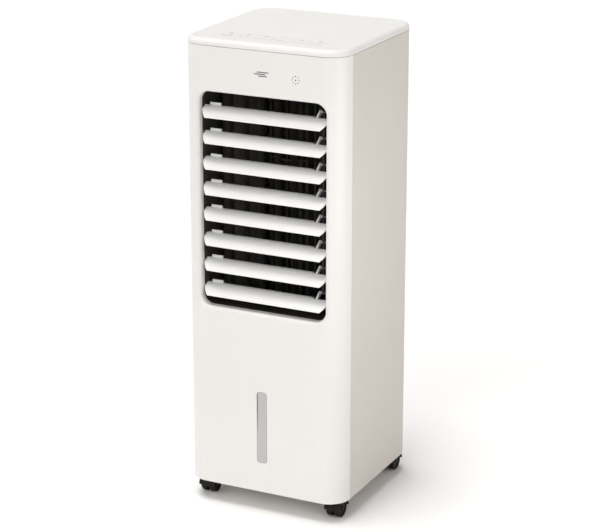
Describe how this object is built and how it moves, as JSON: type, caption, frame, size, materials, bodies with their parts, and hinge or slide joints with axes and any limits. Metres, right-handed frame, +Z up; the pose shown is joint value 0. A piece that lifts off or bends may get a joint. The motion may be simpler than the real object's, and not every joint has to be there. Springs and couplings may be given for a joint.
{
  "type": "evaporative cooler",
  "caption": "Tall white evaporative air cooler on swivel casters, with tilting front louvres, swinging vanes, a water-level window and a drawer water tank.",
  "frame": {"origin": "on the floor under the middle of the body", "axes": "+X to the right of someone facing the front, the front faces -Y, +Z up"},
  "size_m": [0.246, 0.244, 0.68],
  "materials": {
    "casing_white": "satin white moulded plastic",
    "side_white": "fine-textured white moulded plastic",
    "louvre_white": "glossy white moulded plastic",
    "black_plastic": "black moulded plastic",
    "key_white": "satin key caps",
    "window_grey": "translucent grey",
    "tank_plastic": "translucent pale plastic",
    "grey_plastic": "grey moulded plastic",
    "steel": "plain steel",
    "dark_steel": "blackened steel",
    "motor_metal": "painted motor can",
    "board_green": "circuit board",
    "pad_brown": "resin-treated cellulose pad",
    "rubber_black": "moulded rubber",
    "hose_clear": "soft hose"
  },
  "bodies": {
    "casing": {"front_housing": "casing_white", "side_panel_left": "side_white", "side_panel_right": "side_white", "rear_panel": "side_white", "top_cover": "casing_white", "base_plate": "side_white", "deck": "grey_plastic", "outlet_frame": "black_plastic", "scroll_housing": "black_plastic", "swing_motor": "motor_metal", "blower_motor": "motor_metal", "wheel_bearing": "rubber_black", "pad_frame": "grey_plastic", "cooling_pad": "pad_brown", "drip_trough": "grey_plastic", "pump_hose": "hose_clear", "control_board": "board_green", "water_window": "window_grey", "ir_receiver": "black_plastic", "cord_gland": "rubber_black", "rear_screws": "steel"},
    "louvre_1": {"louvre_1": "louvre_white"},
    "louvre_2": {"louvre_2": "louvre_white"},
    "louvre_3": {"louvre_3": "louvre_white"},
    "louvre_4": {"louvre_4": "louvre_white"},
    "louvre_5": {"louvre_5": "louvre_white"},
    "louvre_6": {"louvre_6": "louvre_white"},
    "louvre_7": {"louvre_7": "louvre_white"},
    "louvre_8": {"louvre_8": "louvre_white"},
    "louvre_link": {"louvre_link": "black_plastic"},
    "vane_1": {"vane_1": "black_plastic"},
    "vane_2": {"vane_2": "black_plastic"},
    "vane_3": {"vane_3": "black_plastic"},
    "vane_4": {"vane_4": "black_plastic"},
    "vane_5": {"vane_5": "black_plastic"},
    "vane_6": {"vane_6": "black_plastic"},
    "vane_7": {"vane_7": "black_plastic"},
    "vane_link": {"vane_link": "black_plastic"},
    "swing_crank": {"swing_crank": "black_plastic"},
    "blower": {"blower_wheel": "black_plastic", "blower_shaft": "dark_steel"},
    "button_1": {"button_1": "key_white"},
    "button_2": {"button_2": "key_white"},
    "button_3": {"button_3": "key_white"},
    "button_4": {"button_4": "key_white"},
    "button_5": {"button_5": "key_white"},
    "button_6": {"button_6": "key_white"},
    "water_tank": {"water_tank": "tank_plastic", "tank_face": "side_white", "pump": "grey_plastic"},
    "inlet_panel": {"rear_grille": "side_white", "dust_filter": "black_plastic"},
    "caster_front_left": {"caster_fork_front_left": "black_plastic"},
    "wheels_front_left": {"caster_wheels_front_left": "black_plastic"},
    "caster_front_right": {"caster_fork_front_right": "black_plastic"},
    "wheels_front_right": {"caster_wheels_front_right": "black_plastic"},
    "caster_rear_left": {"caster_fork_rear_left": "black_plastic"},
    "wheels_rear_left": {"caster_wheels_rear_left": "black_plastic"},
    "caster_rear_right": {"caster_fork_rear_right": "black_plastic"},
    "wheels_rear_right": {"caster_wheels_rear_right": "black_plastic"}
  },
  "joints": [
    {"name": "louvre_1_tilt", "type": "hinge", "parent": "casing", "child": "louvre_1", "pos_m": [0, -0.101, 0.5805], "axis": [1, 0, 0], "range_deg": [-45, 30]},
    {"name": "louvre_2_tilt", "type": "hinge", "parent": "casing", "child": "louvre_2", "pos_m": [0, -0.101, 0.54385], "axis": [1, 0, 0], "range_deg": [-45, 30]},
    {"name": "louvre_3_tilt", "type": "hinge", "parent": "casing", "child": "louvre_3", "pos_m": [0, -0.101, 0.5072], "axis": [1, 0, 0], "range_deg": [-45, 30]},
    {"name": "louvre_4_tilt", "type": "hinge", "parent": "casing", "child": "louvre_4", "pos_m": [0, -0.101, 0.47055], "axis": [1, 0, 0], "range_deg": [-45, 30]},
    {"name": "louvre_5_tilt", "type": "hinge", "parent": "casing", "child": "louvre_5", "pos_m": [0, -0.101, 0.4339], "axis": [1, 0, 0], "range_deg": [-45, 30]},
    {"name": "louvre_6_tilt", "type": "hinge", "parent": "casing", "child": "louvre_6", "pos_m": [0, -0.101, 0.39725], "axis": [1, 0, 0], "range_deg": [-45, 30]},
    {"name": "louvre_7_tilt", "type": "hinge", "parent": "casing", "child": "louvre_7", "pos_m": [0, -0.101, 0.3606], "axis": [1, 0, 0], "range_deg": [-45, 30]},
    {"name": "louvre_8_tilt", "type": "hinge", "parent": "casing", "child": "louvre_8", "pos_m": [0, -0.101, 0.32395], "axis": [1, 0, 0], "range_deg": [-45, 30]},
    {"name": "louvre_link_pivot", "type": "hinge", "parent": "louvre_1", "child": "louvre_link", "pos_m": [0.0808, -0.09, 0.5885], "axis": [1, 0, 0], "range_deg": [-30, 45]},
    {"name": "vane_1_swing", "type": "hinge", "parent": "casing", "child": "vane_1", "pos_m": [-0.075, -0.068, 0.4525], "axis": [0, 0, 1], "range_deg": [-30, 30]},
    {"name": "vane_2_swing", "type": "hinge", "parent": "casing", "child": "vane_2", "pos_m": [-0.05, -0.068, 0.4525], "axis": [0, 0, 1], "range_deg": [-30, 30]},
    {"name": "vane_3_swing", "type": "hinge", "parent": "casing", "child": "vane_3", "pos_m": [-0.025, -0.068, 0.4525], "axis": [0, 0, 1], "range_deg": [-30, 30]},
    {"name": "vane_4_swing", "type": "hinge", "parent": "casing", "child": "vane_4", "pos_m": [0, -0.068, 0.4525], "axis": [0, 0, 1], "range_deg": [-30, 30]},
    {"name": "vane_5_swing", "type": "hinge", "parent": "casing", "child": "vane_5", "pos_m": [0.025, -0.068, 0.4525], "axis": [0, 0, 1], "range_deg": [-30, 30]},
    {"name": "vane_6_swing", "type": "hinge", "parent": "casing", "child": "vane_6", "pos_m": [0.05, -0.068, 0.4525], "axis": [0, 0, 1], "range_deg": [-30, 30]},
    {"name": "vane_7_swing", "type": "hinge", "parent": "casing", "child": "vane_7", "pos_m": [0.075, -0.068, 0.4525], "axis": [0, 0, 1], "range_deg": [-30, 30]},
    {"name": "vane_link_pivot", "type": "hinge", "parent": "vane_1", "child": "vane_link", "pos_m": [-0.075, -0.055, 0.306], "axis": [0, 0, 1], "range_deg": [-30, 30]},
    {"name": "swing_crank_turn", "type": "hinge", "parent": "casing", "child": "swing_crank", "pos_m": [0.0125, -0.068, 0.302], "axis": [0, 0, 1], "range_deg": [-30, 30]},
    {"name": "blower_spin", "type": "hinge", "parent": "casing", "child": "blower", "pos_m": [0, -0.004, 0.452], "axis": [0, 0, 1], "continuous": true},
    {"name": "button_1_press", "type": "slide", "parent": "casing", "child": "button_1", "axis": [0, 0, -1], "range_m": [0, 0.0008], "stiffness_N_per_m": 400, "springref_m": -0.0006},
    {"name": "button_2_press", "type": "slide", "parent": "casing", "child": "button_2", "axis": [0, 0, -1], "range_m": [0, 0.0008], "stiffness_N_per_m": 400, "springref_m": -0.0006},
    {"name": "button_3_press", "type": "slide", "parent": "casing", "child": "button_3", "axis": [0, 0, -1], "range_m": [0, 0.0008], "stiffness_N_per_m": 400, "springref_m": -0.0006},
    {"name": "button_4_press", "type": "slide", "parent": "casing", "child": "button_4", "axis": [0, 0, -1], "range_m": [0, 0.0008], "stiffness_N_per_m": 400, "springref_m": -0.0006},
    {"name": "button_5_press", "type": "slide", "parent": "casing", "child": "button_5", "axis": [0, 0, -1], "range_m": [0, 0.0008], "stiffness_N_per_m": 400, "springref_m": -0.0006},
    {"name": "button_6_press", "type": "slide", "parent": "casing", "child": "button_6", "axis": [0, 0, -1], "range_m": [0, 0.0008], "stiffness_N_per_m": 400, "springref_m": -0.0006},
    {"name": "tank_slide", "type": "slide", "parent": "casing", "child": "water_tank", "axis": [0, 1, 0], "range_m": [0, 0.25]},
    {"name": "inlet_panel_lift_off", "type": "slide", "parent": "casing", "child": "inlet_panel", "axis": [0, 1, 0], "range_m": [0, 0.04]},
    {"name": "caster_swivel_front_left", "type": "hinge", "parent": "casing", "child": "caster_front_left", "pos_m": [-0.101, -0.095, 0.03], "axis": [0, 0, 1], "continuous": true},
    {"name": "caster_roll_front_left", "type": "hinge", "parent": "caster_front_left", "child": "wheels_front_left", "pos_m": [-0.101, -0.088, 0.0135], "axis": [1, 0, 0], "continuous": true},
    {"name": "caster_swivel_front_right", "type": "hinge", "parent": "casing", "child": "caster_front_right", "pos_m": [0.101, -0.095, 0.03], "axis": [0, 0, 1], "continuous": true},
    {"name": "caster_roll_front_right", "type": "hinge", "parent": "caster_front_right", "child": "wheels_front_right", "pos_m": [0.101, -0.088, 0.0135], "axis": [1, 0, 0], "continuous": true},
    {"name": "caster_swivel_rear_left", "type": "hinge", "parent": "casing", "child": "caster_rear_left", "pos_m": [-0.101, 0.095, 0.03], "axis": [0, 0, 1], "continuous": true},
    {"name": "caster_roll_rear_left", "type": "hinge", "parent": "caster_rear_left", "child": "wheels_rear_left", "pos_m": [-0.101, 0.102, 0.0135], "axis": [1, 0, 0], "continuous": true},
    {"name": "caster_swivel_rear_right", "type": "hinge", "parent": "casing", "child": "caster_rear_right", "pos_m": [0.101, 0.095, 0.03], "axis": [0, 0, 1], "continuous": true},
    {"name": "caster_roll_rear_right", "type": "hinge", "parent": "caster_rear_right", "child": "wheels_rear_right", "pos_m": [0.101, 0.102, 0.0135], "axis": [1, 0, 0], "continuous": true}
  ],
  "couplings": [
    {"joint": "louvre_2_tilt", "follows": "louvre_1_tilt", "ratio": 1},
    {"joint": "louvre_3_tilt", "follows": "louvre_1_tilt", "ratio": 1},
    {"joint": "louvre_4_tilt", "follows": "louvre_1_tilt", "ratio": 1},
    {"joint": "louvre_5_tilt", "follows": "louvre_1_tilt", "ratio": 1},
    {"joint": "louvre_6_tilt", "follows": "louvre_1_tilt", "ratio": 1},
    {"joint": "louvre_7_tilt", "follows": "louvre_1_tilt", "ratio": 1},
    {"joint": "louvre_8_tilt", "follows": "louvre_1_tilt", "ratio": 1},
    {"joint": "louvre_link_pivot", "follows": "louvre_1_tilt", "ratio": -1},
    {"joint": "vane_2_swing", "follows": "vane_1_swing", "ratio": 1},
    {"joint": "vane_3_swing", "follows": "vane_1_swing", "ratio": 1},
    {"joint": "vane_4_swing", "follows": "vane_1_swing", "ratio": 1},
    {"joint": "vane_5_swing", "follows": "vane_1_swing", "ratio": 1},
    {"joint": "vane_6_swing", "follows": "vane_1_swing", "ratio": 1},
    {"joint": "vane_7_swing", "follows": "vane_1_swing", "ratio": 1},
    {"joint": "vane_link_pivot", "follows": "vane_1_swing", "ratio": -1},
    {"joint": "swing_crank_turn", "follows": "vane_1_swing", "ratio": 1}
  ]
}
